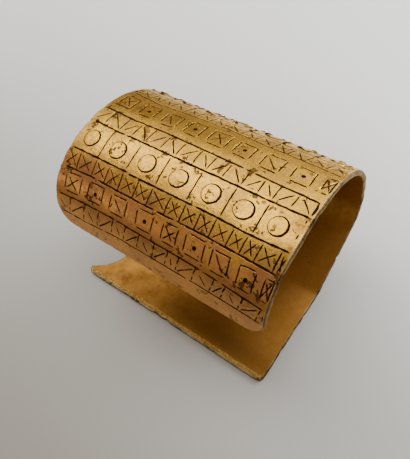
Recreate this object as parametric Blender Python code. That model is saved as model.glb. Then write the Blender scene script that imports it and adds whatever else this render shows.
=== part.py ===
"""Cuff bracelet: one sheet of gilded brass, bent round the wrist and open along one side.

The sheet is set out flat first. u runs along the arm from its middle, s runs round the wrist from the lower
flap's free edge to the upper flap's, and t is the depth below the outer face. A table of stretches then bends
it: each is a straight or an arc that goes on from the one before. The cuff lies as it rests by itself, on the
outside of its flat lower flap, with the gap towards -Y and the arm's line along X.
"""
import math
from collections import namedtuple

import bmesh
import bpy

# Driving dimensions, in metres
CUFF_LENGTH = 0.065        # along the arm
STRIP_LENGTH = 0.1455      # round the wrist, on the outer face, from free edge to free edge
WALL = 0.0015              # thickness of the sheet
UPPER_CORNER = 0.0050      # corner radius of the upper flap
LOWER_CORNER = 0.0020      # corner radius of the lower flap
HOLLOW_DEPTH = 0.0071      # how far the lower flap's end at -X is worn back behind its corner
HOLLOW_LENGTH = 0.0270     # length of that hollow
RIM_RADIUS = 0.0005        # softened edge all round the sheet
LINE_WIDTH = 0.0005        # engraved line that parts two bands of ornament
LINE_DEPTH = 0.0002        # depth of that line at its middle

# How finely the curves are drawn
ARC_STEP = math.radians(6)
CORNER_STEPS = 5
HOLLOW_STEPS = 10
RIM_STEPS = 2

# The section, from the lower flap's free edge. share is a part of the strip's length.
Stretch = namedtuple("Stretch", "name share turn_deg")
SECTION = (
    Stretch("lower flap, which it rests on", 0.2088, 0.0),
    Stretch("heel of the lower flap", 0.0153, 31.3),
    Stretch("slope up to the back", 0.1312, 0.0),
    Stretch("back", 0.0879, 62.7),
    Stretch("crown, towards the back", 0.2578, 74.5),
    Stretch("crown, towards the front", 0.1636, 42.5),
    Stretch("front shoulder", 0.0977, 52.9),
    Stretch("upper flap", 0.0377, 0.0),
)

# The ornament's bands, from the upper flap's free edge. height counts against the sum of the heights.
Band = namedtuple("Band", "name height")
REPEAT = (Band("crosses", 5.3), Band("circles", 8.7), Band("diagonals", 5.1))
WIDE_SQUARES = Band("squares", 10.3)
BANDS = (
    Band("plain margin", 5.4), Band("triangles", 5.5), Band("squares", 7.1),
    *REPEAT, WIDE_SQUARES,
    *REPEAT, WIDE_SQUARES,
    *REPEAT, WIDE_SQUARES,
    *REPEAT, Band("squares", 7.1),
    Band("triangles", 5.5), Band("plain margin", 6.9),
)

# Places along u, as shares of the sheet's width there. A line starts at the second and is full at the third.
COLUMNS = (0.0, 0.02, 0.035, 0.27, 0.5, 0.73, 0.965, 0.98, 1.0)
LINE_COLUMNS = range(2, len(COLUMNS) - 2)

# A row of points across the sheet. corner_turn is None, or how far round a corner's arc the row lies.
Row = namedtuple("Row", "s corner_turn line_depth")


def clear_scene():
    for old in list(bpy.data.objects):
        bpy.data.objects.remove(old, do_unlink=True)


def rim_radius():
    return min(RIM_RADIUS, 0.45 * WALL)


def bend(s, t):
    """y and z of the section at s along the outer face and t below it."""
    y, z, heading = 0.0, 0.0, 0.0
    left = s
    for stretch in SECTION:
        length = stretch.share * STRIP_LENGTH
        last = stretch is SECTION[-1]
        run = left if last else min(left, length)
        turn = math.radians(stretch.turn_deg) * run / length
        if turn:
            radius = run / turn
            y += radius * (math.sin(heading + turn) - math.sin(heading))
            z -= radius * (math.cos(heading + turn) - math.cos(heading))
            heading += turn
        else:
            y += run * math.cos(heading)
            z += run * math.sin(heading)
        left -= run
        if left <= 0.0:
            break
    return y - t * math.sin(heading), z + t * math.cos(heading)


def bend_places():
    """Where the section is cut into flats: the ends of each stretch, and even steps round each arc."""
    places = []
    start = 0.0
    for stretch in SECTION:
        length = stretch.share * STRIP_LENGTH
        steps = max(1, round(math.radians(stretch.turn_deg) / ARC_STEP))
        places += [start + length * step / steps for step in range(steps)]
        start += length
    return places[1:]


def hollow(s):
    """How far the sheet's end at -X is worn back at s: a hollow that is steep behind the lower flap's corner
    and runs out softly towards the heel."""
    along = (s - LOWER_CORNER) / HOLLOW_LENGTH
    return HOLLOW_DEPTH * math.sin(math.pi * along ** 0.7) ** 1.2 if 0.0 < along < 1.0 else 0.0


def hollow_places():
    """Rows that draw the hollow, closer together towards its ends."""
    turns = [math.pi * step / HOLLOW_STEPS for step in range(1, HOLLOW_STEPS)]
    return [LOWER_CORNER + HOLLOW_LENGTH * (1 - math.cos(turn)) / 2 for turn in turns]


def line_places():
    """Middles of the engraved lines, one between each band and the next."""
    scale = STRIP_LENGTH / sum(band.height for band in BANDS)
    place = STRIP_LENGTH
    lines = []
    for band in BANDS[:-1]:
        place -= band.height * scale
        lines.append(place)
    return lines


def sheet_rows():
    """Rows of the sheet from the lower free edge to the upper one."""
    low, high = LOWER_CORNER, STRIP_LENGTH - UPPER_CORNER
    half = LINE_WIDTH / 2
    lines = [place for place in line_places() if low < place - half and place + half < high]
    rows = [Row(0.0, math.radians(90) * step / CORNER_STEPS, 0.0) for step in range(CORNER_STEPS + 1)]
    middle = [Row(place + side * half, None, 0.0 if side else LINE_DEPTH)
              for place in lines for side in (-1, 0, 1)]
    middle += [Row(place, None, 0.0) for place in bend_places() + hollow_places()
               if low < place < high and all(abs(place - line) > LINE_WIDTH for line in lines)]
    rows += sorted(middle, key=lambda row: row.s)
    rows += [Row(STRIP_LENGTH, math.radians(90) * (1 - step / CORNER_STEPS), 0.0)
             for step in range(CORNER_STEPS + 1)]
    return rows


def row_place(row, inset):
    """s of a row and u of its two ends, on an outline that lies inset inside the sheet's own."""
    if row.corner_turn is None:
        step = 0.01 * HOLLOW_LENGTH
        slope = (hollow(row.s + step) - hollow(row.s - step)) / (2 * step)
        left = hollow(row.s) + inset * math.hypot(1.0, slope) - CUFF_LENGTH / 2
        return row.s, left, CUFF_LENGTH / 2 - inset
    lower = row.s == 0.0
    corner = LOWER_CORNER if lower else UPPER_CORNER
    reach = corner - inset
    s = corner - reach * math.cos(row.corner_turn)
    half_width = CUFF_LENGTH / 2 - corner + reach * math.sin(row.corner_turn)
    return (s if lower else STRIP_LENGTH - s), -half_width, half_width


def rim_profile():
    """Inset and depth of the loops round the rim, from the outer face over the edge to the inner face."""
    radius = rim_radius()
    turns = [math.radians(90) * step / RIM_STEPS for step in range(RIM_STEPS + 1)]
    outer = [(radius * (1 - math.sin(turn)), radius * (1 - math.cos(turn))) for turn in turns]
    inner = [(inset, WALL - depth) for inset, depth in reversed(outer)]
    return outer + inner


def add_cuff_mesh(section_middle):
    rows = sheet_rows()
    last_row, last_column = len(rows) - 1, len(COLUMNS) - 1
    edge = [(row, 0) for row in range(last_row)]
    edge += [(last_row, column) for column in range(last_column)]
    edge += [(row, last_column) for row in range(last_row, 0, -1)]
    edge += [(0, column) for column in range(last_column, 0, -1)]

    mesh = bmesh.new()

    def point(row, column, inset, depth, engraved=False):
        s, left, right = row_place(rows[row], inset)
        if engraved and column in LINE_COLUMNS:
            depth += rows[row].line_depth
        y, z = bend(s, depth)
        return mesh.verts.new((left + (right - left) * COLUMNS[column], y - section_middle, z))

    def face_grid(inset, depth, engraved):
        return {(row, column): point(row, column, inset, depth, engraved)
                for row in range(last_row + 1) for column in range(last_column + 1)}

    profile = rim_profile()
    outer = face_grid(*profile[0], engraved=True)
    inner = face_grid(*profile[-1], engraved=False)
    loops = [[outer[place] for place in edge]]
    loops += [[point(row, column, inset, depth) for row, column in edge] for inset, depth in profile[1:-1]]
    loops.append([inner[place] for place in edge])

    for grid in (outer, inner):
        for row in range(last_row):
            for column in range(last_column):
                mesh.faces.new((grid[row, column], grid[row, column + 1],
                                grid[row + 1, column + 1], grid[row + 1, column]))
    for near, far in zip(loops, loops[1:]):
        for here in range(len(edge)):
            there = (here + 1) % len(edge)
            mesh.faces.new((near[here], near[there], far[there], far[here]))
    bmesh.ops.recalc_face_normals(mesh, faces=mesh.faces)
    return mesh


def section_middle():
    """Half way between the cuff's front and back, so that it stands centred over the origin."""
    reach = [bend(row_place(row, inset)[0], depth)[0] for row in sheet_rows() for inset, depth in rim_profile()]
    return (min(reach) + max(reach)) / 2


def gilded_brass():
    material = bpy.data.materials.new("gilded_brass")
    material.use_nodes = True
    shader = material.node_tree.nodes["Principled BSDF"]
    shader.inputs["Base Color"].default_value = (0.58, 0.37, 0.13, 1.0)
    shader.inputs["Roughness"].default_value = 0.38
    shader.inputs["Metallic"].default_value = 1.0
    return material


def make_cuff():
    data = bpy.data.meshes.new("cuff")
    mesh = add_cuff_mesh(section_middle())
    mesh.to_mesh(data)
    mesh.free()
    data.shade_smooth()
    data.set_sharp_from_angle(angle=math.radians(25))
    data.materials.append(gilded_brass())
    cuff = bpy.data.objects.new("cuff", data)
    bpy.context.scene.collection.objects.link(cuff)


clear_scene()
make_cuff()
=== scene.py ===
"""Looks of the gilded cuff bracelet: engraved sheet, gilding and wear, a pale floor, light and camera."""
import math
from collections import namedtuple

import bpy
import numpy as np
from mathutils import Matrix, Vector
from mathutils.geometry import delaunay_2d_cdt


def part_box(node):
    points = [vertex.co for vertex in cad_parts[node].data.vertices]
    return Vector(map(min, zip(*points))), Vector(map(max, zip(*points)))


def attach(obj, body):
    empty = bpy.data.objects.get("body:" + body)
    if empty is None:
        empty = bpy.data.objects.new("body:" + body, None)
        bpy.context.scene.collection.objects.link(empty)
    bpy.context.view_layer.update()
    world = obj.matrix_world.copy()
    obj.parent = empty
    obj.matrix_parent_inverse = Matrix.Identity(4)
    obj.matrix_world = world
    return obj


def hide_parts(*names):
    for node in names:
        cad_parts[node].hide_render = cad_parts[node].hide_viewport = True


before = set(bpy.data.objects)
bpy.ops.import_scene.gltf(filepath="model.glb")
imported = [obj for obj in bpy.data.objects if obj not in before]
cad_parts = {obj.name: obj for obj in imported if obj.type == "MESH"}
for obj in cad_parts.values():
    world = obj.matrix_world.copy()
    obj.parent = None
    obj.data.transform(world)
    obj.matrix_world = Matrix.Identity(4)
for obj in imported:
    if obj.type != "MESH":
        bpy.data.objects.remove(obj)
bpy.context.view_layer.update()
CUFF_LOW, CUFF_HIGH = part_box("cuff")

MM = 0.001

# The sheet, as the solid has it. Lengths along the sheet are in metres.
CUFF_LENGTH = CUFF_HIGH.x - CUFF_LOW.x
STRIP_LENGTH = 145.5 * MM
WALL = 1.5 * MM
UPPER_CORNER = 5.0 * MM
LOWER_CORNER = 2.0 * MM
HOLLOW_DEPTH = 7.1 * MM  # the lower flap's end at -X is worn back behind its corner
HOLLOW_LENGTH = 27 * MM
RIM_RADIUS = 0.5 * MM
Stretch = namedtuple("Stretch", "share turn_deg")
SECTION = (
    Stretch(0.2088, 0.0), Stretch(0.0153, 31.3), Stretch(0.1312, 0.0), Stretch(0.0879, 62.7),
    Stretch(0.2578, 74.5), Stretch(0.1636, 42.5), Stretch(0.0977, 52.9), Stretch(0.0377, 0.0),
)
EASE = 4 * MM  # length over which one stretch's bend passes into the next one's

# What the sheet has beyond the solid
BEVEL_WIDTH = 1.5 * MM  # filed along the inner face's lower free edge
BEVEL_DROP = 0.45 * MM
BEVEL_SHORT = 1.2 * MM  # how far the filed edge's ridge stops short of the cuff's ends
Wave = namedtuple("Wave", "height size seed")
BEATEN = (Wave(0.10 * MM, 24 * MM, 3), Wave(0.022 * MM, 6 * MM, 5))
FLAT_REACH = 29 * MM  # the lower flap stays flat, and the beaten unevenness fades in after it
FLAT_FADE = 12 * MM
RIM_WEAR = (Wave(0.07 * MM, 9 * MM, 23), Wave(0.03 * MM, 2.2 * MM, 29))
NICKS = 70
NICK_DEPTHS_MM = (0.05, 0.28)
NICK_REACHES_MM = (0.5, 1.1)

# How finely the sheet is drawn
LATTICE = 0.78 * MM  # spacing of points on plain metal
LATTICE_ROW = 0.87  # spacing of its rows, as a share of that
LATTICE_SHAKE = 0.06
RIM_SPACING = 0.55 * MM
CUT_SPACING = 0.7 * MM  # spacing of points along an engraved line
CUT_CLEARANCE = 0.14 * MM  # plain points keep this clear of the cuts
RING_POINTS = 36
PIT_POINTS = 14
PIT_LOOPS = (1.0, 0.86, 0.5)
RIM_STEPS = 5
SHARP_DEG = 24  # an engraved cut's shoulders are steeper than this, and the rim's steps are not
UV_UNIT = 10 * MM  # length on the sheet of one unit of its UV map
OUTER, INNER, RIM = range(3)  # the materials' numbers


# The sheet's form

def section_curve():
    """Heading, y and z of the outer face's section by distance s round the wrist. The curvature is each
    stretch's turn over its length, eased by a bell-shaped running mean. Its running sums give the rest."""
    count = 4000
    s = np.linspace(-EASE, STRIP_LENGTH + EASE, count)
    step = s[1] - s[0]
    ends = np.cumsum([stretch.share for stretch in SECTION]) * STRIP_LENGTH
    curvature = np.zeros(count)
    start = 0.0
    for stretch, end in zip(SECTION, ends):
        inside = (s >= start) & (s < end)
        curvature[inside] = math.radians(stretch.turn_deg) / (end - start)
        start = end
    bell = np.hanning(round(EASE / step))
    curvature = np.convolve(curvature, bell / bell.sum(), mode="same")
    heading = np.cumsum(curvature) * step
    y = np.cumsum(np.cos(heading)) * step
    z = np.cumsum(np.sin(heading)) * step
    z -= np.interp(0.0, s, z)
    y += CUFF_LOW.y - y[(s > 0) & (s < STRIP_LENGTH)].min()
    return s, heading, y, z


CURVE = section_curve()


def smooth_noise(u, s, size, seed):
    """Soft unevenness between about -1 and 1: a sum of plane waves in seeded directions, size long or so."""
    rng = np.random.default_rng(seed)
    waves = 14
    turn = rng.uniform(0, math.pi, waves)
    length = size * rng.uniform(0.7, 1.6, waves)
    phase = rng.uniform(0, 2 * math.pi, waves)
    along = np.multiply.outer(u, np.cos(turn) / length) + np.multiply.outer(s, np.sin(turn) / length)
    return np.sin(2 * math.pi * along + phase).sum(-1) * math.sqrt(2.0 / waves) / 2


def bend(u, s, depth):
    """Points of the bent sheet: the section's place at s, moved depth inward square to its heading. A beaten
    unevenness is added to the depth, so that both faces and the rim follow it."""
    sample, heading, y, z = CURVE
    angle = np.interp(s, sample, heading)
    uneven = sum(wave.height * smooth_noise(u, s, wave.size, wave.seed) for wave in BEATEN)
    uneven *= np.clip((s - FLAT_REACH) / FLAT_FADE, 0.0, 1.0)
    inward = depth + uneven
    return np.stack([u, np.interp(s, sample, y) - inward * np.sin(angle),
                     np.interp(s, sample, z) + inward * np.cos(angle)], axis=-1)


def hollow(s):
    """How far the sheet's end at -X is worn back at s, and how steeply that grows with s."""
    def worn(at):
        along = np.clip((at - LOWER_CORNER) / HOLLOW_LENGTH, 0.0, 1.0)
        return HOLLOW_DEPTH * np.clip(np.sin(math.pi * along ** 0.7), 0.0, 1.0) ** 1.2
    step = 0.01 * HOLLOW_LENGTH
    return worn(s), (worn(s + step) - worn(s - step)) / (2 * step)


def rim_outline():
    """Outline of the flat sheet and its outward directions: four sides joined by quarter circles."""
    half = CUFF_LENGTH / 2
    corners = (
        (half - LOWER_CORNER, LOWER_CORNER, LOWER_CORNER, -90),
        (half - UPPER_CORNER, STRIP_LENGTH - UPPER_CORNER, UPPER_CORNER, 0),
        (UPPER_CORNER - half, STRIP_LENGTH - UPPER_CORNER, UPPER_CORNER, 90),
        (LOWER_CORNER - half, LOWER_CORNER, LOWER_CORNER, 180),
    )
    points, outward = [], []
    for number, (u, s, radius, first_deg) in enumerate(corners):
        steps = max(4, round(radius * math.pi / 2 / RIM_SPACING))
        turn = np.radians(first_deg + 90 * np.arange(steps + 1) / steps)
        facing = np.stack([np.cos(turn), np.sin(turn)], axis=-1)
        points.append(np.array([u, s]) + radius * facing)
        outward.append(facing)
        next_u, next_s, next_radius, next_deg = corners[(number + 1) % 4]
        side = np.array([math.cos(math.radians(next_deg)), math.sin(math.radians(next_deg))])
        start, end = points[-1][-1], np.array([next_u, next_s]) + next_radius * side
        steps = round(float(np.linalg.norm(end - start)) / RIM_SPACING)
        share = np.arange(1, steps)[:, None] / steps
        straight = start + share * (end - start)
        facing = np.repeat(side[None], steps - 1, axis=0)
        if next_deg == 180:
            worn, slope = hollow(straight[:, 1])
            straight[:, 0] += worn
            facing = np.stack([-np.ones_like(slope), slope], axis=-1) / np.hypot(1.0, slope)[:, None]
        points.append(straight)
        outward.append(facing)
    return np.concatenate(points), np.concatenate(outward)


def rim_profile():
    """Inset and depth of the loops round the rim, from the outer face over the edge to the inner face."""
    turn = np.radians(np.linspace(0, 90, RIM_STEPS + 1))
    outer = [(RIM_RADIUS * (1 - math.sin(a)), RIM_RADIUS * (1 - math.cos(a))) for a in turn]
    return outer + [(inset, WALL - depth) for inset, depth in reversed(outer)]


def rim_nicks(points):
    """How far wear has eaten into the rim at each place of the outline: soft waves and seeded nicks."""
    rng = np.random.default_rng(19)
    u, s = points.T
    worn = sum(wave.height * (1 + smooth_noise(u, s, wave.size, wave.seed)) for wave in RIM_WEAR)
    for centre in points[rng.integers(0, len(points), NICKS)]:
        gap = np.linalg.norm(points - centre, axis=1)
        deep = rng.uniform(*NICK_DEPTHS_MM) * MM
        reach = rng.uniform(*NICK_REACHES_MM) * MM
        worn += deep * np.exp(-((gap / reach) ** 2))
    return worn


# The engraving. The ornament's chart is in millimetres from the cuff's left end.

CUT_LOW, CUT_HIGH = 0.97, 64.03  # the engraving stops short of the rims
CROSS_POSTS = (5.2, 10.5, 15.0, 19.5, 24.3, 28.5, 34.0, 38.2, 42.4, 46.5, 51.0, 54.7, 58.1, 62.7)
RINGS = (4.8, 13.9, 23.3, 32.8, 41.9, 50.5, 59.0)
RING_RADII = (2.38, 2.3)  # along the arm and round the wrist
LAST_RING_SHARE = 0.9  # the last ring is narrower
RING_FAINT_DEG = {0: 235, 1: 180, 3: 230}  # where some rings are shallow, by the ring's number
RING_POSTS = (9.6, 18.9, 28.2, 37.5, 46.5, 54.9, 63.6)
DIAGONAL_POSTS = (5.0, 10.1, 14.6, 18.8, 23.7, 28.3, 33.5, 37.5, 41.9, 46.6, 50.9, 54.6, 59.2, 63.9)
TRIANGLE_POSTS = (5.9, 11.2, 16.0, 21.1, 25.3, 29.7, 34.3, 38.3, 41.5, 46.3, 51.3, 54.4, 58.9, 63.4)
NARROW_SQUARES = ((3.3, 8.8), (11.3, 16.3), (18.9, 23.9), (27.4, 32.4), (35.2, 39.5), (41.7, 46.8),
                  (48.9, 53.5), (55.8, 60.0), (62.0, 64.2))
WIDE_SQUARES = ((2.0, 6.8), (9.6, 14.1), (17.0, 21.5), (24.3, 28.7), (31.3, 36.5), (38.8, 43.6),
                (46.4, 51.6), (54.2, 59.4), (61.6, 64.3))
SQUARE_MARKS = r"x.\.x.\.x"  # what is in each square

# Bands run from the upper flap's free edge, and height counts against the sum of the heights. stray is how
# far the line that ends a band leaves its even place, in millimetres, at even steps along the cuff.
Band = namedtuple("Band", "figure height stray")
STRAY_STEPS = 7
REPEAT = (
    Band("crosses", 5.3, (-0.5, -0.35, -0.3, -0.2, -0.1, -0.3, 0.1)),
    Band("circles", 8.7, (-0.15, -0.45, -0.45, -0.5, -0.45, -0.4, -0.25)),
    Band("diagonals", 5.1, (0.1, -0.4, -0.2, -0.4, -0.6, -0.9, -1.1)),
)
WIDE = Band("wide squares", 10.3, (0.4, -0.8, 0.1, 0.8, 0.1, 0.0, -0.7))
BANDS = (
    Band("margin", 5.4, (-0.8, -0.5, 0.6, 0.6, 0.45, 0.35, -0.2)),
    Band("triangles", 5.5, (-0.9, 0.0, 0.3, 0.15, 0.0, -0.5, -1.3)),
    Band("squares", 7.1, (-0.5, 0.1, 0.0, 0.0, 0.2, 0.1, -0.1)),
    *REPEAT, WIDE, *REPEAT, WIDE, *REPEAT, WIDE, *REPEAT,
    Band("squares", 7.1, (0.3, -0.1, 0.2, 0.0, -0.2, 0.1, 0.2)),
    Band("triangles", 5.5, (0.2, 0.0, -0.3, 0.1, 0.3, 0.0, -0.2)),
    Band("margin", 6.9, (0.0,) * STRAY_STEPS),
)
ROUND_START = 3  # number of the first band that repeats
ROUND_BANDS = 4
TURNED_ROUNDS = (1, 3)  # rounds of bands that have the chart turned end for end
BURRS = {8: 0.34 * MM}  # height of the burrs thrown up by the cuts, by the band's number

# Strokes: their width and depth in millimetres
Stroke = namedtuple("Stroke", "width depth")
BAND_LINE = Stroke(0.54, 0.19)
SQUARE = Stroke(0.42, 0.14)
WIDE_SQUARE = Stroke(0.50, 0.14)
SQUARE_MARK = Stroke(0.42, 0.12)
PUNCH = Stroke(1.12, 0.45)
CROSS_POST = Stroke(0.43, 0.12)
CROSS = Stroke(0.40, 0.11)
RING = Stroke(0.44, 0.14)
RING_POST = Stroke(0.40, 0.14)
LAST_RING_POST = Stroke(0.42, 0.14)
DIAGONAL_POST = Stroke(0.42, 0.12)
FALLING_DIAGONAL = Stroke(0.44, 0.13)
RISING_DIAGONAL = Stroke(0.40, 0.11)
TRIANGLE_POST = Stroke(0.44, 0.12)
TRIANGLE_FOOT = Stroke(0.36, 0.09)
RISING_SIDE = Stroke(0.44, 0.12)
FALLING_SIDE = Stroke(0.38, 0.10)

# How unsteady the cuts are
SWAY = 0.05 * MM  # bow of a whole stroke
SHAKE = 0.022 * MM  # shake from point to point
SWELL = 0.12  # share by which a stroke widens and narrows
TIP_TAPER = 0.9 * MM  # length over which a stroke widens at its ends
TIP_RISE = 0.4 * MM  # length over which it deepens
DARK_DEPTH = 0.07 * MM  # a cut is fully dark from this depth on
BURR_WIDTH = 0.16 * MM
BURR_REACH = 0.5 * MM  # none farther from a cut's shoulder than this
BURR_DARK_HEIGHT = 0.3 * MM  # a burr this high is as dark as it gets
BURR_DARK = 0.3


class Engraving:
    """Cuts, punched pits and burrs of the outer face. A cut is a line of points with a half width and a depth
    at every point. Its section is a V: the depth falls off evenly from the line to the half width."""

    def __init__(self):
        self.cuts = []
        self.pits = []
        self.burrs = []

    def line(self, start, end, width, depth, rng, burr=0.0):
        """A straight cut by hand: it sways a little, widens and narrows, and is pointed at both ends. burr is
        how high its thrown-up edges stand."""
        start, end = np.array(start, float), np.array(end, float)
        run = end - start
        length = float(np.linalg.norm(run))
        count = max(4, round(length / CUT_SPACING) + 1)
        share = np.linspace(0.0, 1.0, count)
        across = np.array([-run[1], run[0]]) / length
        sway = rng.normal(0.0, SWAY) * np.sin(math.pi * share) + rng.normal(0.0, SHAKE, count)
        points = start + share[:, None] * run + sway[:, None] * across
        from_tip = np.minimum(share, 1 - share) * length
        swell = 1.0 + rng.normal(0.0, SWELL, count)
        half = width / 2 * swell * np.clip(0.45 + from_tip / TIP_TAPER, 0.0, 1.0)
        deep = depth * swell * np.clip(from_tip / TIP_RISE, 0.0, 1.0)
        self.add_stroke(points, half, deep)
        if burr:
            self.burrs.append((points, half, burr))

    def add_stroke(self, points, half, deep):
        """Adds an open cut, or the longest part of it that is on the sheet."""
        on = np.flatnonzero(on_sheet(points))
        runs = np.split(on, np.flatnonzero(np.diff(on) > 1) + 1)
        kept = max(runs, key=len)
        if len(kept) >= 3:
            deep = deep.copy()
            deep[kept[[0, -1]]] = 0.0
            self.cuts.append((points[kept], half[kept], deep[kept], False))

    def ring(self, centre, radii, width, depth, heavy_deg, faint_deg, rng, burr):
        """A circle cut in short curved strokes: heavier on one side, and shallow where faint_deg points."""
        turn = 2 * math.pi * np.arange(RING_POINTS) / RING_POINTS
        radius = 1.0 + rng.normal(0.0, 0.012, RING_POINTS) + 0.02 * np.sin(2 * turn + rng.uniform(0, 6))
        points = np.array(centre) + radius[:, None] * np.stack(
            [radii[0] * np.cos(turn), radii[1] * np.sin(turn)], axis=-1)
        weight = 0.85 + 0.55 * np.cos(turn - math.radians(heavy_deg)) + rng.normal(0.0, 0.07, RING_POINTS)
        if faint_deg is not None:
            apart = np.abs((turn - math.radians(faint_deg) + math.pi) % (2 * math.pi) - math.pi)
            weight *= np.clip(0.15 + apart / 0.8, 0.0, 1.0)
        if on_sheet(points).all():
            half = width / 2 * np.maximum(weight, 0.45)
            self.cuts.append((points, half, depth * weight, True))
            if burr:
                self.burrs.append((points, half, burr))

    def pit(self, centre, radius, depth):
        """A round punch mark."""
        centre = np.array(centre)
        if on_sheet(centre[None]).all():
            self.pits.append((centre, radius, depth))

    def depth_at(self, points, widen=0.0):
        """Depth of the engraving at each point, and how dark its bottom is, from 0 to 1."""
        deep = np.zeros(len(points))
        dark = np.zeros(len(points))
        for line, half, depth, closed in self.cuts:
            near = points_near(points, line, half.max() + widen)
            if not len(near):
                continue
            ends = np.roll(np.arange(len(line)), -1) if closed else np.arange(1, len(line))
            starts = np.arange(len(ends))
            run = line[ends] - line[starts]
            offset = points[near][:, None] - line[starts]
            share = np.clip((offset * run).sum(-1) / (run * run).sum(-1), 0.0, 1.0)
            gap = np.linalg.norm(offset - share[..., None] * run, axis=-1)
            width = half[starts] + share * (half[ends] - half[starts]) + widen
            local = depth[starts] + share * (depth[ends] - depth[starts])
            fall = np.clip(1.0 - gap / width, 0.0, 1.0)
            best = (fall * np.maximum(local, 1e-6)).argmax(1)
            row = np.arange(len(near))
            deep[near] = np.maximum(deep[near], (fall * local)[row, best])
            shade = fall[row, best] * np.clip(local[row, best] / DARK_DEPTH, 0, 1)
            dark[near] = np.maximum(dark[near], shade)
        for centre, radius, depth in self.pits:
            gap = np.linalg.norm(points - centre, axis=1)
            fall = np.clip(1.0 - (gap / (radius + widen)) ** 2, 0.0, 1.0)
            deep = np.maximum(deep, depth * np.sqrt(fall))
            dark = np.maximum(dark, np.sqrt(fall))
        return deep, dark

    def burr_at(self, points):
        """Height of the burrs: a bell-shaped ridge along both shoulders of a cut, in some places."""
        height = np.zeros(len(points))
        for line, half, burr in self.burrs:
            near = points_near(points, line, half.max() + BURR_REACH)
            if not len(near):
                continue
            gap = np.linalg.norm(points[near][:, None] - line, axis=-1)
            closest = gap.argmin(1)
            gap = gap[np.arange(len(near)), closest]
            ridge = np.exp(-(((gap - half[closest]) / BURR_WIDTH) ** 2))
            patchy = np.clip(0.35 + smooth_noise(points[near, 0], points[near, 1], 3.2 * MM, 37), 0.0, 1.0)
            height[near] = np.maximum(height[near], burr * ridge * patchy)
        return height

    def outline_net(self):
        """Points and joining edges that draw every cut: its middle line and the shoulders on both sides."""
        points, edges = [], []
        total = 0
        for line, half, _, closed in self.cuts:
            count = len(line)
            run = (np.roll(line, -1, 0) - np.roll(line, 1, 0)) if closed else np.gradient(line, axis=0)
            across = np.stack([-run[:, 1], run[:, 0]], axis=-1) / np.linalg.norm(run, axis=1)[:, None]
            inner = np.arange(count) if closed else np.arange(1, count - 1)
            left = (line + across * half[:, None])[inner]
            right = (line - across * half[:, None])[inner]
            points += [line, left, right]
            middle = np.arange(count) + total
            first = np.arange(len(inner)) + total + count
            sides = [first, first + len(inner)]
            total += count + 2 * len(inner)
            chains = [middle] + (sides if closed else [np.r_[middle[0], side, middle[-1]] for side in sides])
            for chain in chains:
                edges.append(np.stack([chain[:-1], chain[1:]], axis=-1))
                if closed:
                    edges.append(np.array([[chain[-1], chain[0]]]))
        turn = 2 * math.pi * np.arange(PIT_POINTS) / PIT_POINTS
        facing = np.stack([np.cos(turn), np.sin(turn)], axis=-1)
        for centre, radius, _ in self.pits:
            for share in PIT_LOOPS:
                points.append(centre + radius * share * facing)
                chain = np.arange(PIT_POINTS) + total
                edges.append(np.stack([chain, np.roll(chain, -1)], axis=-1))
                total += PIT_POINTS
            points.append(centre[None])
            total += 1
        return np.concatenate(points), np.concatenate(edges)


def points_near(points, line, reach):
    """Numbers of the points inside a line's box, widened by reach."""
    return np.flatnonzero(((points > line.min(0) - reach) & (points < line.max(0) + reach)).all(1))


def on_sheet(points):
    """Which points can be cut: those that keep clear of the hollow."""
    worn, slope = hollow(points[:, 1])
    low = worn + CUT_LOW * MM * np.hypot(1.0, slope) - CUFF_LENGTH / 2
    return (worn == 0.0) | (points[:, 0] > low)


class BandFrame:
    """One band's own frame: x in millimetres from the cuff's left end, f from 0 at the line towards the upper
    free edge to 1 at the other. A turned band runs from the right end instead."""

    def __init__(self, engraving, low, high, rng, turned, burr):
        self.engraving, self.low, self.high, self.rng = engraving, low, high, rng
        self.turned, self.burr = turned, burr

    def point(self, x, f):
        low, high = self.low(x), self.high(x)
        from_upper_edge = (low + f * (high - low)) * MM
        u, s = x * MM - CUFF_LENGTH / 2, STRIP_LENGTH - from_upper_edge
        return (-u if self.turned else u), s

    def cut(self, x0, f0, x1, f1, stroke):
        """A straight cut, with its ends off their place by a hand's error."""
        x0, x1 = (float(np.clip(x + self.rng.normal(0, 0.09), CUT_LOW, CUT_HIGH)) for x in (x0, x1))
        f0, f1 = (f + self.rng.normal(0, 0.014) for f in (f0, f1))
        if math.hypot(x1 - x0, 5 * (f1 - f0)) < 0.5:
            return
        self.engraving.line(self.point(x0, f0), self.point(x1, f1), stroke.width * MM, stroke.depth * MM,
                            self.rng, self.burr)


def lines_of_bands():
    """Each line between two bands, as its place from the upper edge in millimetres by x."""
    scale = STRIP_LENGTH / MM / sum(band.height for band in BANDS)
    steps = np.linspace(0.0, CUFF_LENGTH / MM, STRAY_STEPS)
    place = 0.0
    lines = []
    for band in BANDS[:-1]:
        place += band.height * scale
        lines.append(lambda x, place=place, stray=band.stray: place + float(np.interp(x, steps, stray)))
    return lines


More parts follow.
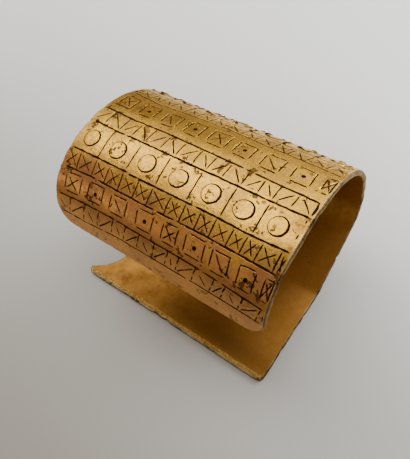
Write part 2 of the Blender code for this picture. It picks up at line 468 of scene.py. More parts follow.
def cut_line_of_band(engraving, line, rng):
    """A band's line: two to four long strokes that follow each other, each a chain of short cuts."""
    stops = np.sort(rng.uniform(12, 54, rng.integers(1, 4)))
    stops = np.concatenate([[CUT_LOW + rng.uniform(-0.3, 0.8)], stops, [CUT_HIGH]])
    for first, last in zip(stops, stops[1:]):
        shift = rng.normal(0, 0.09)
        count = max(2, round((last - first) / 0.8))
        x = np.linspace(first + rng.uniform(0.0, 0.2), last + rng.uniform(-0.15, 0.25), count)
        x = np.clip(x, CUT_LOW - 0.3, CUT_HIGH)
        s = STRIP_LENGTH - (np.array([line(at) for at in x]) + shift + rng.normal(0, 0.03, count)) * MM
        swell = 1.0 + 0.16 * rng.normal(size=count)
        from_tip = np.clip(np.minimum(np.arange(count), np.arange(count)[::-1]), 0.0, 1.0)
        points = np.stack([x * MM - CUFF_LENGTH / 2, s], axis=-1)
        engraving.add_stroke(points, BAND_LINE.width / 2 * MM * swell * (0.4 + 0.6 * from_tip),
                             BAND_LINE.depth * MM * swell * from_tip)


def cut_square(band, x0, x1, low, high, mark, stroke):
    """A square of four strokes that don't quite meet, with a cross, a stroke or a punched dot in it."""
    lean = 0.35
    band.cut(x0 + 0.1, high, x1 - 0.1, high + 0.02, stroke)
    band.cut(x1 - 0.1, high + 0.02, x1 + lean * 0.6, low + 0.02, stroke)
    band.cut(x1 + lean * 0.5, low, x0 + lean + 0.2, low - 0.01, stroke)
    band.cut(x0 + lean, low + 0.02, x0, high - 0.01, stroke)
    centre, middle = (x0 + x1) / 2, (low + high) / 2
    reach, rise = (x1 - x0) * 0.34, (high - low) * 0.36
    if mark == ".":
        place = band.point(centre + 0.25, middle - 0.01)
        band.engraving.pit(place, PUNCH.width / 2 * MM, PUNCH.depth * MM)
        return
    band.cut(centre - reach, middle + rise, centre + reach, middle - rise, SQUARE_MARK)
    if mark == "x":
        band.cut(centre - reach, middle - rise, centre + reach, middle + rise, SQUARE_MARK)


def cut_squares(band, squares, low, high, stroke):
    """A row of squares, each a little off its height."""
    for (x0, x1), mark in zip(squares, SQUARE_MARKS):
        sink = band.rng.normal(0, 0.012)
        cut_square(band, x0, x1, low + sink, high + sink, mark, stroke)


def cut_crosses(band):
    """Slanting posts with a narrow cross between each two."""
    edges = (0.2, *CROSS_POSTS, 66.2)
    for post in CROSS_POSTS:
        slant = 0.5 * max(0.0, 1.0 - post / 55)
        band.cut(post - slant, 0.94, post + slant, 0.04, CROSS_POST)
    for x0, x1 in zip(edges, edges[1:]):
        slant = 0.5 * max(0.0, 1.0 - x0 / 55)
        band.cut(x0 + 0.5 - slant, 0.84, x1 - 0.6 + slant, 0.16, CROSS)
        band.cut(x0 + 0.6 + slant, 0.1, x1 - 0.8 - slant, 0.78, CROSS)


def cut_circles(band):
    """Circles with a post between each two, and a broken post after the last."""
    for number, x in enumerate(RINGS):
        place = band.point(x, 0.49 + band.rng.normal(0, 0.01))
        along, across = RING_RADII
        radii = (along * MM * (LAST_RING_SHARE if x == RINGS[-1] else 1.0), across * MM)
        heavy = 170 if band.turned else 10
        band.engraving.ring(place, radii, RING.width * MM, RING.depth * MM, heavy, RING_FAINT_DEG.get(number),
                            band.rng, band.burr)
    *posts, last = RING_POSTS
    for post in posts:
        band.cut(post - 0.15, 0.95, post + 0.15, 0.04, RING_POST)
    for top, bottom in ((0.95, 0.78), (0.52, 0.32), (0.22, 0.12)):
        band.cut(last, top, last + 0.05, bottom, LAST_RING_POST)


def cut_diagonals(band):
    """Posts with a stroke between each two that leans one way and then the other."""
    edges = (0.4, *DIAGONAL_POSTS, 66.5)
    for post in DIAGONAL_POSTS:
        band.cut(post + 0.1, 0.96, post - 0.05, 0.08, DIAGONAL_POST)
    for number, (x0, x1) in enumerate(zip(edges, edges[1:])):
        if number % 2:
            band.cut(x0 + 0.9, 0.85, x1 - 0.4, 0.12, FALLING_DIAGONAL)
        else:
            band.cut(x0 + 0.9, 0.16, x1 - 0.7, 0.84, RISING_DIAGONAL)


def cut_triangles(band):
    """Short leaning posts with a long stroke up to the right and a faint one down to it in turn."""
    edges = (0.6, *TRIANGLE_POSTS, 66.0)
    for post in TRIANGLE_POSTS:
        band.cut(post, 0.98, post - 0.5, 0.5, TRIANGLE_POST)
        band.cut(post - 0.5, 0.48, post - 1.0, 0.06, TRIANGLE_FOOT)
    for number, (x0, x1) in enumerate(zip(edges, edges[1:])):
        if number % 2:
            band.cut(x0 - 0.3, 0.14, x1 - 0.6, 0.84, RISING_SIDE)
        else:
            band.cut(x0 + 1.0, 0.72, x1 - 1.9, 0.2, FALLING_SIDE)


FIGURES = {
    "triangles": cut_triangles,
    "squares": lambda band: cut_squares(band, NARROW_SQUARES, 0.22, 0.84, SQUARE),
    "wide squares": lambda band: cut_squares(band, WIDE_SQUARES, 0.25, 0.74, WIDE_SQUARE),
    "crosses": cut_crosses,
    "circles": cut_circles,
    "diagonals": cut_diagonals,
}


def cut_ornament():
    """The whole engraving: the lines between the bands, then the figures in each band."""
    engraving = Engraving()
    rng = np.random.default_rng(41)
    lines = lines_of_bands()
    for line in lines:
        cut_line_of_band(engraving, line, rng)
    for number, band in enumerate(BANDS):
        if band.figure in FIGURES:
            turned = (number - ROUND_START) // ROUND_BANDS in TURNED_ROUNDS
            FIGURES[band.figure](BandFrame(engraving, lines[number - 1], lines[number], rng, turned,
                                          BURRS.get(number, 0.0)))
    return engraving


# The mesh

def add_object(name, data):
    thing = bpy.data.objects.new(name, data)
    bpy.context.scene.collection.objects.link(thing)
    return thing


def lattice():
    """Points over the flat sheet in staggered rows, shaken a little, that keep clear of the outline."""
    rng = np.random.default_rng(7)
    half = CUFF_LENGTH / 2
    rows = np.arange(0.0, STRIP_LENGTH, LATTICE * LATTICE_ROW)
    across = np.arange(-half, half, LATTICE)
    u = across[None] + np.where(np.arange(len(rows)) % 2, LATTICE / 2, 0.0)[:, None]
    s = np.repeat(rows[:, None], len(across), axis=1)
    points = np.stack([u, s], axis=-1).reshape(-1, 2)
    points += rng.normal(0.0, LATTICE_SHAKE, points.shape) * LATTICE
    margin = RIM_RADIUS + 0.35 * LATTICE
    upper = points[:, 1] > STRIP_LENGTH / 2
    corner = np.where(upper, UPPER_CORNER, LOWER_CORNER)
    worn, slope = hollow(points[:, 1])
    worn = np.where(points[:, 0] < 0, worn + margin * (np.hypot(1.0, slope) - 1), 0.0)
    from_side = half - np.abs(points[:, 0]) - worn
    from_end = np.minimum(points[:, 1], STRIP_LENGTH - points[:, 1])
    reach = np.hypot(np.maximum(corner - from_side, 0), np.maximum(corner - from_end, 0))
    inside = (from_side > margin) & (from_end > margin) & (reach < corner - margin)
    return points[inside]


def add_bevel_ridge(plain):
    """The plain points, with a row along the filed edge's ridge and none close beside it."""
    end = CUFF_LENGTH / 2 - BEVEL_SHORT
    along = np.linspace(-end, end, round(2 * end / RIM_SPACING))
    ridge = np.stack([along, np.full(len(along), BEVEL_WIDTH)], axis=-1)
    return np.concatenate([plain[np.abs(plain[:, 1] - BEVEL_WIDTH) > 0.3 * MM], ridge])


def inside_outline(points, outline):
    """Which points a closed outline holds: those whose ray towards +u crosses it an odd number of times."""
    here, there = outline, np.roll(outline, -1, 0)
    odd = np.zeros(len(points), bool)
    for start in range(0, len(points), 4000):
        u, s = points[start:start + 4000, :1], points[start:start + 4000, 1:]
        spans = (here[:, 1] > s) != (there[:, 1] > s)
        rise = np.where(here[:, 1] == there[:, 1], 1.0, there[:, 1] - here[:, 1])
        crossing = here[:, 0] + (s - here[:, 1]) / rise * (there[:, 0] - here[:, 0])
        odd[start:start + 4000] = (spans & (crossing > u)).sum(1) % 2 == 1
    return odd


def fill_face(outline, plain, net=None):
    """Triangles over a face of the flat sheet whose corners are the outline, the plain points and the net of
    cuts. Gives the points, the triangles, and the number of the point at each place of the outline. Triangles
    outside the outline are left out."""
    parts = [outline, plain] + ([net[0]] if net else [])
    ring = np.arange(len(outline))
    edges = [np.stack([ring, np.roll(ring, -1)], axis=-1)]
    if net:
        edges.append(net[1] + len(outline) + len(plain))
    points = np.concatenate(parts) / MM
    verts, _, faces, origins, _, _ = delaunay_2d_cdt(
        [Vector(point) for point in points.tolist()], np.concatenate(edges).tolist(), [], 1, 1e-5, True)
    at_outline = np.zeros(len(outline), int)
    for number, sources in enumerate(origins):
        for source in sources:
            if source < len(outline):
                at_outline[source] = number
    faces = np.array([tuple(face) for face in faces])
    points = np.array([tuple(vert) for vert in verts]) * MM
    return points, faces[inside_outline(points[faces].mean(1), outline)], at_outline


def join_loops(loops):
    """Triangles, two to a step, between each loop of point numbers and the next."""
    faces = []
    for near, far in zip(loops, loops[1:]):
        faces.append(np.stack([near, np.roll(near, -1), far], axis=-1))
        faces.append(np.stack([np.roll(near, -1), np.roll(far, -1), far], axis=-1))
    return np.concatenate(faces)


# Stains: x from the left end, place from the upper free edge and radius, in millimetres, and the strength
STAINS = (
    (11.0, 41.0, 4.0, 0.65), (3.0, 39.0, 3.5, 0.55), (5.0, 47.0, 4.0, 0.45), (19.5, 44.0, 3.0, 0.35),
    (27.0, 42.5, 3.0, 0.30), (63.0, 30.0, 2.2, 0.75), (63.5, 23.5, 1.8, 0.55), (62.0, 42.0, 3.0, 0.50),
    (2.0, 31.0, 2.2, 0.40), (14.0, 33.0, 2.2, 0.30), (36.0, 30.5, 2.0, 0.25), (47.0, 26.0, 2.0, 0.25),
    (30.0, 20.5, 4.0, 0.35), (20.0, 20.5, 3.5, 0.35), (9.0, 20.5, 3.0, 0.30), (61.0, 8.0, 4.5, 0.50),
    (50.0, 8.5, 3.0, 0.25), (30.0, 7.5, 3.0, 0.30),
)


def stain_at(points):
    """How stained the outer face is: soft round spots at listed places, broken up by unevenness."""
    total = np.zeros(len(points))
    for x, from_upper_edge, radius, strength in STAINS:
        centre = np.array([x * MM - CUFF_LENGTH / 2, STRIP_LENGTH - from_upper_edge * MM])
        gap = np.linalg.norm((points - centre) / MM, axis=1) / radius
        total = np.maximum(total, strength * np.exp(-gap ** 2))
    return np.clip(total * (1.0 + 0.5 * smooth_noise(points[:, 0], points[:, 1], 4 * MM, 31)), 0.0, 1.0)


def add_map_and_attributes(mesh, flat, dark):
    """The UV map, which is the flat sheet, and what the finishes read at each point: how engraved it is, how
    far from the rim in millimetres, and how stained."""
    uv = mesh.uv_layers.new(name="flat_sheet")
    corner = np.empty(len(mesh.loops), np.int32)
    mesh.loops.foreach_get("vertex_index", corner)
    uv.data.foreach_set("uv", (flat[corner] / UV_UNIT).ravel().astype(np.float32))
    from_rim = np.minimum.reduce(
        [CUFF_LENGTH / 2 - np.abs(flat[:, 0]), flat[:, 1], STRIP_LENGTH - flat[:, 1]])
    engraved = np.concatenate([dark, np.zeros(len(flat) - len(dark))])
    for name, values in (("engraved", engraved), ("from_rim", from_rim / MM), ("stain", stain_at(flat))):
        attribute = mesh.attributes.new(name, "FLOAT", "POINT")
        attribute.data.foreach_set("value", values.astype(np.float32))


def make_cuff():
    """The engraved sheet: outer face, rim loops and inner face in one closed mesh."""
    engraving = cut_ornament()
    base, outward = rim_outline()
    nicks = rim_nicks(base)
    profile = rim_profile()[1:-1]

    def loop(inset):
        wear = nicks * (1.0 - 0.75 * inset / RIM_RADIUS)
        return base - outward * (inset + wear)[:, None]

    plain = lattice()
    free = engraving.depth_at(plain, widen=CUT_CLEARANCE)[0] == 0.0
    outer, outer_faces, outer_edge = fill_face(loop(RIM_RADIUS), plain[free], engraving.outline_net())
    inner, inner_faces, inner_edge = fill_face(loop(RIM_RADIUS), add_bevel_ridge(plain))
    rim = [loop(inset) for inset, _ in profile]
    deep, dark = engraving.depth_at(outer)
    burr = engraving.burr_at(outer)
    deep -= burr
    dark = np.maximum(dark, np.clip(burr / BURR_DARK_HEIGHT, 0.0, BURR_DARK))
    deep[outer_edge] = 0.0

    flat = np.concatenate([outer, *rim, inner])
    depth = np.concatenate([deep, *[np.full(len(base), level) for _, level in profile],
                            np.full(len(inner), WALL)])
    thinned = BEVEL_DROP * np.clip(1.0 - flat[:, 1] / BEVEL_WIDTH, 0.0, 1.0)
    points = bend(flat[:, 0], flat[:, 1], np.minimum(depth, WALL - thinned))
    inner_start = len(outer) + len(rim) * len(base)
    rim_loops = [len(outer) + len(base) * number + np.arange(len(base)) for number in range(len(rim))]
    rim_faces = join_loops([outer_edge, *rim_loops, inner_edge + inner_start])
    faces = np.concatenate([outer_faces[:, ::-1], rim_faces[:, ::-1], inner_faces + inner_start])

    mesh = bpy.data.meshes.new("cuff_sheet")
    mesh.from_pydata(points.tolist(), [], faces.tolist())
    place = np.repeat(np.array([OUTER, RIM, INNER]), [len(outer_faces), len(rim_faces), len(inner_faces)])
    mesh.polygons.foreach_set("material_index", place.astype(np.int32))
    add_map_and_attributes(mesh, flat, dark)
    mesh.validate()
    mesh.update()
    piece = add_object("cuff_sheet", mesh)
    mesh.shade_smooth()
    mesh.set_sharp_from_angle(angle=math.radians(SHARP_DEG))
    return piece


# Finishes

class Nodes:
    """A node tree with short calls to add and join nodes."""

    def __init__(self, tree):
        self.tree = tree

    def add(self, kind, settings=None, **inputs):
        node = self.tree.nodes.new(kind)
        for name, value in (settings or {}).items():
            setattr(node, name, value)
        for name, value in inputs.items():
            self.set(node, name.replace("_", " "), value)
        return node

    def set(self, node, name, value):
        """Joins or sets an input, named by its name or by # and its number."""
        socket = node.inputs[int(name[1:])] if name[0] == "#" else node.inputs[name]
        if isinstance(value, bpy.types.NodeSocket):
            self.tree.links.new(value, socket)
        else:
            socket.default_value = value

    def place(self, tree, **inputs):
        return self.add("ShaderNodeGroup", {"node_tree": tree}, **inputs).outputs

    def attribute(self, name):
        return self.add("ShaderNodeAttribute", {"attribute_name": name}).outputs["Fac"]

    def math(self, operation, first, second=0.0, third=0.0):
        node = self.add("ShaderNodeMath", {"operation": operation})
        for number, value in enumerate((first, second, third)):
            self.set(node, f"#{number}", value)
        return node.outputs[0]

    def noise(self, vector, scale, detail=3.0, rough=0.5):
        node = self.add("ShaderNodeTexNoise", Vector=vector, Scale=scale, Detail=detail, Roughness=rough)
        return node.outputs["Fac"]

    def ramp(self, value, low, high):
        """Rises smoothly from 0 at low to 1 at high, and falls if low is the larger."""
        node = self.add("ShaderNodeMapRange", {"interpolation_type": "SMOOTHSTEP"}, Value=value)
        self.set(node, "From Min", low)
        self.set(node, "From Max", high)
        return node.outputs[0]

    def mix(self, share, first, second, blend="MIX"):
        node = self.add("ShaderNodeMix", {"data_type": "RGBA", "blend_type": blend})
        self.set(node, "#0", share)
        self.set(node, "#6", first)
        self.set(node, "#7", second)
        return node.outputs[2]


def group(name, inputs, outputs):
    """An empty shader node group with the named sockets."""
    tree = bpy.data.node_groups.new(name, "ShaderNodeTree")
    for socket, kind, value in inputs:
        made = tree.interface.new_socket(name=socket, in_out="INPUT", socket_type=kind)
        if value is not None:
            made.default_value = value
    for socket, kind in outputs:
        tree.interface.new_socket(name=socket, in_out="OUTPUT", socket_type=kind)
    nodes = Nodes(tree)
    return nodes, nodes.add("NodeGroupInput").outputs, nodes.add("NodeGroupOutput")


def make_gilding_group():
    """Gilding that has worn and dulled in patches: a colour, and a value that is 1 where it is dullest."""
    nodes, given, out = group("worn_gilding", (
        ("Vector", "NodeSocketVector", None), ("Bright", "NodeSocketColor", (1, 1, 1, 1)),
        ("Dull", "NodeSocketColor", (0.5, 0.5, 0.5, 1)), ("Patch Scale", "NodeSocketFloat", 60.0),
    ), (("Color", "NodeSocketColor"), ("Dullness", "NodeSocketFloat")))
    broad = nodes.noise(given["Vector"], given["Patch Scale"], 4.0, 0.55)
    fine = nodes.noise(given["Vector"], nodes.math("MULTIPLY", given["Patch Scale"], 9.0), 6.0, 0.72)
    both = nodes.math("ADD", nodes.math("MULTIPLY", broad, 0.5), nodes.math("MULTIPLY", fine, 0.5))
    dull = nodes.ramp(both, 0.40, 0.62)
    nodes.set(out, "Color", nodes.mix(dull, given["Bright"], given["Dull"]))
    nodes.set(out, "Dullness", dull)
    return nodes.tree


def make_tarnish_and_reflection_group():
    """Reddish patina and a painted reflection: a colour laid over the gilding, strong on the upper flap's
    bands nearest its free edge as a painted reflection of dark, warm surroundings, and in faint patches
    elsewhere as real patina. Vector is the sheet's UV map."""
    nodes, given, out = group("reddish_tarnish_and_painted_reflection", (
        ("Vector", "NodeSocketVector", None), ("Color", "NodeSocketColor", (1, 1, 1, 1)),
        ("Strength", "NodeSocketFloat", 1.0),
    ), (("Color", "NodeSocketColor"),))
    top = STRIP_LENGTH / UV_UNIT
    place = nodes.add("ShaderNodeSeparateXYZ", Vector=given["Vector"]).outputs
    patchy = nodes.noise(given["Vector"], 1.1, 3.0, 0.6)
    from_edge = nodes.math("MULTIPLY_ADD", place["X"], 0.07, nodes.math("SUBTRACT", top, place["Y"]))
    # Painted reflection: the bands nearest the upper free edge, some 2 cm wide and broken up by noise, are
    # reddened.
    painted_light_band = nodes.ramp(nodes.math("MULTIPLY_ADD", patchy, 1.2, from_edge), 3.0, 2.3)
    streaky = nodes.ramp(nodes.noise(given["Vector"], 4.0, 4.0, 0.65), 0.30, 0.62)
    painted_light_band = nodes.math("MULTIPLY", painted_light_band, nodes.math("MULTIPLY_ADD", streaky, 0.55, 0.45))
    faint = nodes.math("MULTIPLY", nodes.ramp(patchy, 0.50, 0.74), 0.3)
    cover = nodes.math("MULTIPLY", nodes.math("MAXIMUM", painted_light_band, faint), given["Strength"])
    reddened = nodes.mix(1.0, given["Color"], REDDENING, "MULTIPLY")
    nodes.set(out, "Color", nodes.mix(cover, given["Color"], reddened))
    return nodes.tree


def make_pits_group():
    """Small dark pits and specks, denser in some places than in others: 1 in a pit."""
    nodes, given, out = group("pits_and_specks", (
        ("Vector", "NodeSocketVector", None), ("Scale", "NodeSocketFloat", 900.0),
        ("Amount", "NodeSocketFloat", 0.5),
    ), (("Pits", "NodeSocketFloat"),))
    cell = nodes.add("ShaderNodeTexVoronoi", {"feature": "F1"}, Vector=given["Vector"], Scale=given["Scale"])
    size = nodes.noise(given["Vector"], nodes.math("MULTIPLY", given["Scale"], 0.21), 3.0, 0.6)
    reach = nodes.math("MULTIPLY", nodes.ramp(size, 0.50, 0.72), given["Amount"])
    pit = nodes.ramp(nodes.math("SUBTRACT", reach, cell.outputs["Distance"]), -0.02, 0.16)
    nodes.set(out, "Pits", pit)
    return nodes.tree


def make_scratch_group():
    """Fine scratches that run every way, mostly round the wrist: a value that is 1 on a scratch."""
    nodes, given, out = group("fine_scratches", (
        ("Vector", "NodeSocketVector", None), ("Scale", "NodeSocketFloat", 30.0),
    ), (("Scratches", "NodeSocketFloat"),))
    found = None
    for turn, stretch in ((0.3, 26.0), (1.5, 20.0), (2.4, 34.0)):
        place = nodes.add("ShaderNodeMapping", Vector=given["Vector"], Rotation=(0.0, 0.0, turn),
                          Scale=(1.0, stretch, 1.0))
        streak = nodes.noise(place.outputs[0], given["Scale"], 2.0, 0.5)
        line = nodes.ramp(streak, 0.66, 0.74)
        found = line if found is None else nodes.math("MAXIMUM", found, line)
    nodes.set(out, "Scratches", found)
    return nodes.tree


EDGE_TINT = (1.0, 0.87, 0.66, 1.0)  # gold keeps its colour where it is seen at a slant
# Reddens the gilding, for the real patina patches and for the painted reflection on the upper flap.
REDDENING = (1.0, 0.76, 1.6, 1.0)  # multiplies the gilding's colour
PIT_DARK = (0.045, 0.022, 0.008, 1.0)
STAIN_BROWN = (0.085, 0.042, 0.014, 1.0)
GRIME = (0.030, 0.012, 0.004, 1.0)
# Painted highlight: paler gold laid along the upper free edge, in place of light from the low front.
PAINTED_HIGHLIGHT_GOLD = (1.0, 0.54, 0.22, 1.0)
# Paler gold along the outer face's rim: metal rubbed through, and a painted highlight along the edges.
BARE_GOLD_AND_HIGHLIGHT = (0.62, 0.42, 0.12, 1.0)
# Painted shade: the dark gold laid on the inner face towards its lower free edge.
PAINTED_SHADE_GOLD = (0.06, 0.022, 0.003, 1.0)
FILED_DULL = (0.20, 0.105, 0.025, 1.0)
FILED_BRIGHT = (0.46, 0.285, 0.080, 1.0)

# Painted highlight: where the paler band along the upper free edge begins, and where it is full.
PAINTED_HIGHLIGHT_EDGE = (11.5 * MM, 8.0 * MM)  # from the upper free edge

# The last field is the strength of the reddish patina and painted reflection.
Finish = namedtuple("Finish", "bright dull patch_scale roughness pits relief tarnish")
ENGRAVED_GILDING = Finish((0.64, 0.365, 0.050, 1.0), (0.40, 0.225, 0.045, 1.0),
                          130.0, 0.20, 0.95, 0.0001, 1.0)
INNER_GILDING = Finish((0.42, 0.210, 0.048, 1.0), (0.32, 0.148, 0.030, 1.0), 40.0, 0.44, 0.35, 0.00002, 0.0)
RUBBED_RIM = Finish((0.25, 0.175, 0.085, 1.0), (0.075, 0.045, 0.022, 1.0), 160.0, 0.38, 0.9, 0.00012, 0.0)


def new_material(name):
    """A material with its nodes and its shader."""
    material = bpy.data.materials.new(name)
    material.use_nodes = True
    return material, Nodes(material.node_tree), material.node_tree.nodes["Principled BSDF"]


def gilt_material(name, finish, groups, add_wear_and_painted_light=None):
    """Worn gilding with pits, scratches, reddish patina and a painted reflection. The function given for
    added wear changes its colour, roughness and height further, painted light included.
    """
    material, nodes, shader = new_material(name)
    shader.inputs["Metallic"].default_value = 1.0
    shader.inputs["Specular Tint"].default_value = EDGE_TINT
    solid = nodes.add("ShaderNodeTexCoord").outputs["Object"]
    sheet = nodes.add("ShaderNodeUVMap", {"uv_map": "flat_sheet"}).outputs[0]

    gilding = nodes.place(groups["gilding"], Vector=solid, Bright=finish.bright, Dull=finish.dull,
                          Patch_Scale=finish.patch_scale)
    speck = nodes.place(groups["pits"], Vector=solid, Scale=1500.0, Amount=finish.pits)["Pits"]
    blot = nodes.place(groups["pits"], Vector=solid, Scale=420.0, Amount=finish.pits * 0.60)["Pits"]
    scratch = nodes.place(groups["scratches"], Vector=sheet, Scale=5.0)["Scratches"]
    pitted = nodes.math("MAXIMUM", speck, nodes.math("MULTIPLY", blot, 0.75))
    # Reddish patina in faint patches, and a painted reflection on the upper flap's bands nearest its free
    # edge.
    tarnish_and_reflection_colour = nodes.place(groups["tarnish"], Vector=sheet, Color=gilding["Color"], Strength=finish.tarnish)
    colour = nodes.mix(nodes.math("MULTIPLY", pitted, 0.8), tarnish_and_reflection_colour["Color"], PIT_DARK)
    height = nodes.math("MULTIPLY", pitted, -0.5)
    height = nodes.math("ADD", height, nodes.math("MULTIPLY", scratch, -0.12))
    height = nodes.math("ADD", height, nodes.math("MULTIPLY", nodes.noise(solid, 800.0, 5.0, 0.7), 0.6))
    roughness = nodes.math("MULTIPLY_ADD", gilding["Dullness"], 0.14, finish.roughness)
    roughness = nodes.math("MULTIPLY_ADD", pitted, 0.25, roughness)
    if add_wear_and_painted_light:
        colour, roughness, height = add_wear_and_painted_light(nodes, solid, sheet, colour, roughness, height)
    nodes.set(shader, "Base Color", colour)
    nodes.set(shader, "Roughness", roughness)
    bump = nodes.add("ShaderNodeBump", Height=height, Distance=finish.relief)
    nodes.set(shader, "Normal", bump.outputs[0])
    return material


def add_outer_wear_and_painted_light(nodes, solid, sheet, colour, roughness, height):
    """Brown stains, a painted highlight of paler gold along the upper free edge, paler gold along the rim
    that is rubbed metal and a painted highlight too, and dark grime in the cuts, which spreads a little
    unevenly over their shoulders."""
    grain = nodes.ramp(nodes.noise(solid, 1100.0, 4.0, 0.7), 0.30, 0.64)
    spot = nodes.math("MULTIPLY", nodes.attribute("stain"), nodes.math("MULTIPLY_ADD", grain, 0.8, 0.25))
    colour = nodes.mix(spot, colour, STAIN_BROWN)
    round_wrist = nodes.add("ShaderNodeSeparateXYZ", Vector=sheet).outputs["Y"]
    start, full = ((STRIP_LENGTH - from_edge) / UV_UNIT for from_edge in PAINTED_HIGHLIGHT_EDGE)
    # Painted highlight: paler gold over the band nearest the upper free edge, in place of light from the low
    # front.
    painted_light_band = nodes.ramp(round_wrist, start, full)
    colour = nodes.mix(nodes.math("MULTIPLY", painted_light_band, 0.25), colour, PAINTED_HIGHLIGHT_GOLD)
    # Paler gold along the rim, broken up by noise: metal rubbed through, and a painted highlight along the
    # edges.
    bare_and_highlight = nodes.math("MULTIPLY_ADD", nodes.noise(solid, 700.0, 3.0, 0.7), 1.8, nodes.attribute("from_rim"))
    colour = nodes.mix(nodes.math("MULTIPLY", nodes.ramp(bare_and_highlight, 1.9, 1.2), 0.6), colour, BARE_GOLD_AND_HIGHLIGHT)
    uneven = nodes.math("MULTIPLY_ADD", nodes.noise(solid, 2400.0, 2.0), 0.5, -0.23)
    grime = nodes.math("MULTIPLY_ADD", nodes.attribute("engraved"), 2.0, uneven)
    colour = nodes.mix(nodes.ramp(grime, 0.12, 0.50), colour, GRIME)
    roughness = nodes.math("MULTIPLY_ADD", nodes.ramp(grime, 0.10, 0.55), 0.35, roughness)
    return colour, roughness, height


def add_inner_wear_and_painted_shade(nodes, solid, sheet, colour, roughness, height):
    """Painted shade of darker gold towards the lower free edge, and the rough filed band along it."""
    round_wrist = nodes.add("ShaderNodeSeparateXYZ", Vector=sheet).outputs["Y"]
    filed = nodes.ramp(round_wrist, BEVEL_WIDTH / UV_UNIT + 0.01, BEVEL_WIDTH / UV_UNIT - 0.01)
    rubbed = nodes.ramp(nodes.noise(solid, 1500.0, 4.0, 0.7), 0.36, 0.62)
    # Painted shade: darker gold over the inner face towards its lower free edge, broken up by noise.
    painted_shade = nodes.ramp(nodes.math("MULTIPLY_ADD", nodes.noise(solid, 60.0), 0.6, round_wrist), 1.6, 0.6)
    colour = nodes.mix(nodes.math("MULTIPLY", painted_shade, 0.42), colour, PAINTED_SHADE_GOLD)
    colour = nodes.mix(filed, colour, nodes.mix(rubbed, FILED_DULL, FILED_BRIGHT))
    height = nodes.math("MULTIPLY_ADD", nodes.math("MULTIPLY", filed, rubbed), 3.0, height)
    return colour, roughness, height


def add_finishes(mesh):
    """The sheet's materials, in the order of OUTER, INNER and RIM."""
    groups = {"gilding": make_gilding_group(), "tarnish": make_tarnish_and_reflection_group(), "pits": make_pits_group(),
              "scratches": make_scratch_group()}
    for name, finish, add_wear_and_painted_light in (("engraved_gilding", ENGRAVED_GILDING, add_outer_wear_and_painted_light),
                                   ("inner_gilding", INNER_GILDING, add_inner_wear_and_painted_shade),
                                   ("rubbed_rim", RUBBED_RIM, None)):
        mesh.materials.append(gilt_material(name, finish, groups, add_wear_and_painted_light))


# The studio

FLOOR_SIZE = 2.4
# Painted shade: the floor darkens to this towards -Y.
FLOOR_NEAR_PAINTED_SHADE = (0.19, 0.176, 0.150, 1.0)
FLOOR_FAR = (0.80, 0.82, 0.83, 1.0)
WORLD_COLOUR = (1.0, 0.87, 0.72, 1.0)
WORLD_STRENGTH = 0.54
MIDDLE = (0.0, 0.0, 0.03)

Light = namedtuple("Light", "name place aim size power colour")
LIGHTS = (
    Light("overhead", (-0.59, 0.07, 0.90), (-0.59, 0.07, 0.0), (0.72, 0.50), 4.1, (1.0, 0.97, 0.92)),
    Light("overhead_right", (0.11, 0.07, 0.90), (0.11, 0.07, 0.0), (0.68, 0.50), 2.0, (1.0, 0.97, 0.92)),
    Light("overhead_back", (-0.25, 0.60, 0.90), (-0.25, 0.60, 0.0), (1.4, 0.52), 4.4, (1.0, 0.985, 0.96)),
    Light("back_card", (-0.20, 1.05, 0.62), MIDDLE, (0.45, 0.40), 0.9, (0.97, 0.98, 1.0)),
    Light("front_left_card", (-0.72, -0.66, 0.24), MIDDLE, (0.40, 0.22), 0.22, (1.0, 0.92, 0.82)),
    Light("left_card", (-0.85, 0.15, 0.20), MIDDLE, (0.50, 0.28), 0.9, (1.0, 0.98, 0.95)),
    Light("window", (0.12, 0.42, 0.30), (-0.01, 0.20, 0.0), (0.30, 0.20), 2.2, (0.93, 0.97, 1.0)),
)

# The camera, from the photograph's perspective
CAMERA_PLACE = (0.0542, -0.0643, 0.1216)
CAMERA_FACING = (-0.4183, 0.4586, -0.7840)
CAMERA_RIGHT = (0.8045, 0.5877, -0.0855)
LENS_MM = 36.1


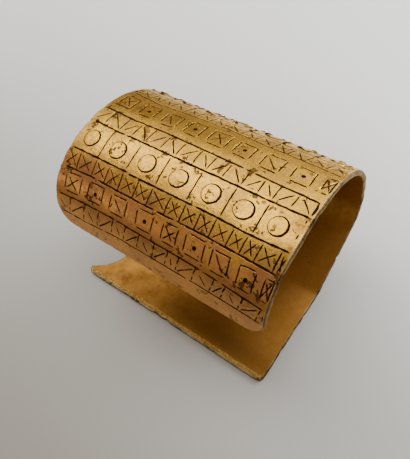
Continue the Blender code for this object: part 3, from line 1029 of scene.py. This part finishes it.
def floor_with_painted_shade_material():
    """Matt board with painted shade: pale towards +Y and darkened towards -Y, in front of the cuff, where
    less light falls.
    """
    material, nodes, shader = new_material("floor_with_painted_shade")
    solid = nodes.add("ShaderNodeTexCoord").outputs["Object"]
    away = nodes.add("ShaderNodeSeparateXYZ", Vector=solid).outputs["Y"]
    tone = nodes.math("MULTIPLY_ADD", nodes.noise(solid, 3.0, 2.0), 0.04, away)
    nodes.set(shader, "Base Color", nodes.mix(nodes.ramp(tone, -0.12, 0.15), FLOOR_NEAR_PAINTED_SHADE, FLOOR_FAR))
    shader.inputs["Roughness"].default_value = 0.42
    return material


def make_floor():
    mesh = bpy.data.meshes.new("floor")
    corners = np.array([(-1, -1), (1, -1), (1, 1), (-1, 1)]) * FLOOR_SIZE
    mesh.from_pydata([(x, y, CUFF_LOW.z) for x, y in corners.tolist()], [], [(0, 1, 2, 3)])
    mesh.materials.append(floor_with_painted_shade_material())
    floor = add_object("floor", mesh)


def add_light(light):
    """A soft square light that faces a point."""
    data = bpy.data.lights.new(light.name, "AREA")
    data.shape = "RECTANGLE"
    data.size, data.size_y = light.size
    data.energy = light.power
    data.color = light.colour
    lamp = add_object(light.name, data)
    lamp.location = light.place
    lamp.rotation_euler = (Vector(light.aim) - Vector(light.place)).to_track_quat("-Z", "Y").to_euler()


def make_studio():
    world = bpy.data.worlds.new("studio")
    world.use_nodes = True
    back = world.node_tree.nodes["Background"]
    back.inputs["Color"].default_value = WORLD_COLOUR
    back.inputs["Strength"].default_value = WORLD_STRENGTH
    bpy.context.scene.world = world
    for light in LIGHTS:
        add_light(light)


def make_camera():
    data = bpy.data.cameras.new("camera")
    data.lens = LENS_MM
    data.sensor_width = 36.0
    data.clip_start = 0.005
    camera = add_object("camera", data)
    facing = Vector(CAMERA_FACING).normalized()
    right = Vector(CAMERA_RIGHT)
    right = (right - facing * right.dot(facing)).normalized()
    upward = right.cross(facing)
    turned = Matrix((right, upward, -facing)).transposed().to_4x4()
    camera.matrix_world = Matrix.Translation(CAMERA_PLACE) @ turned
    bpy.context.scene.camera = camera


make_camera()
cuff = make_cuff()
add_finishes(cuff.data)
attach(cuff, "root")
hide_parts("cuff")
make_floor()
make_studio()
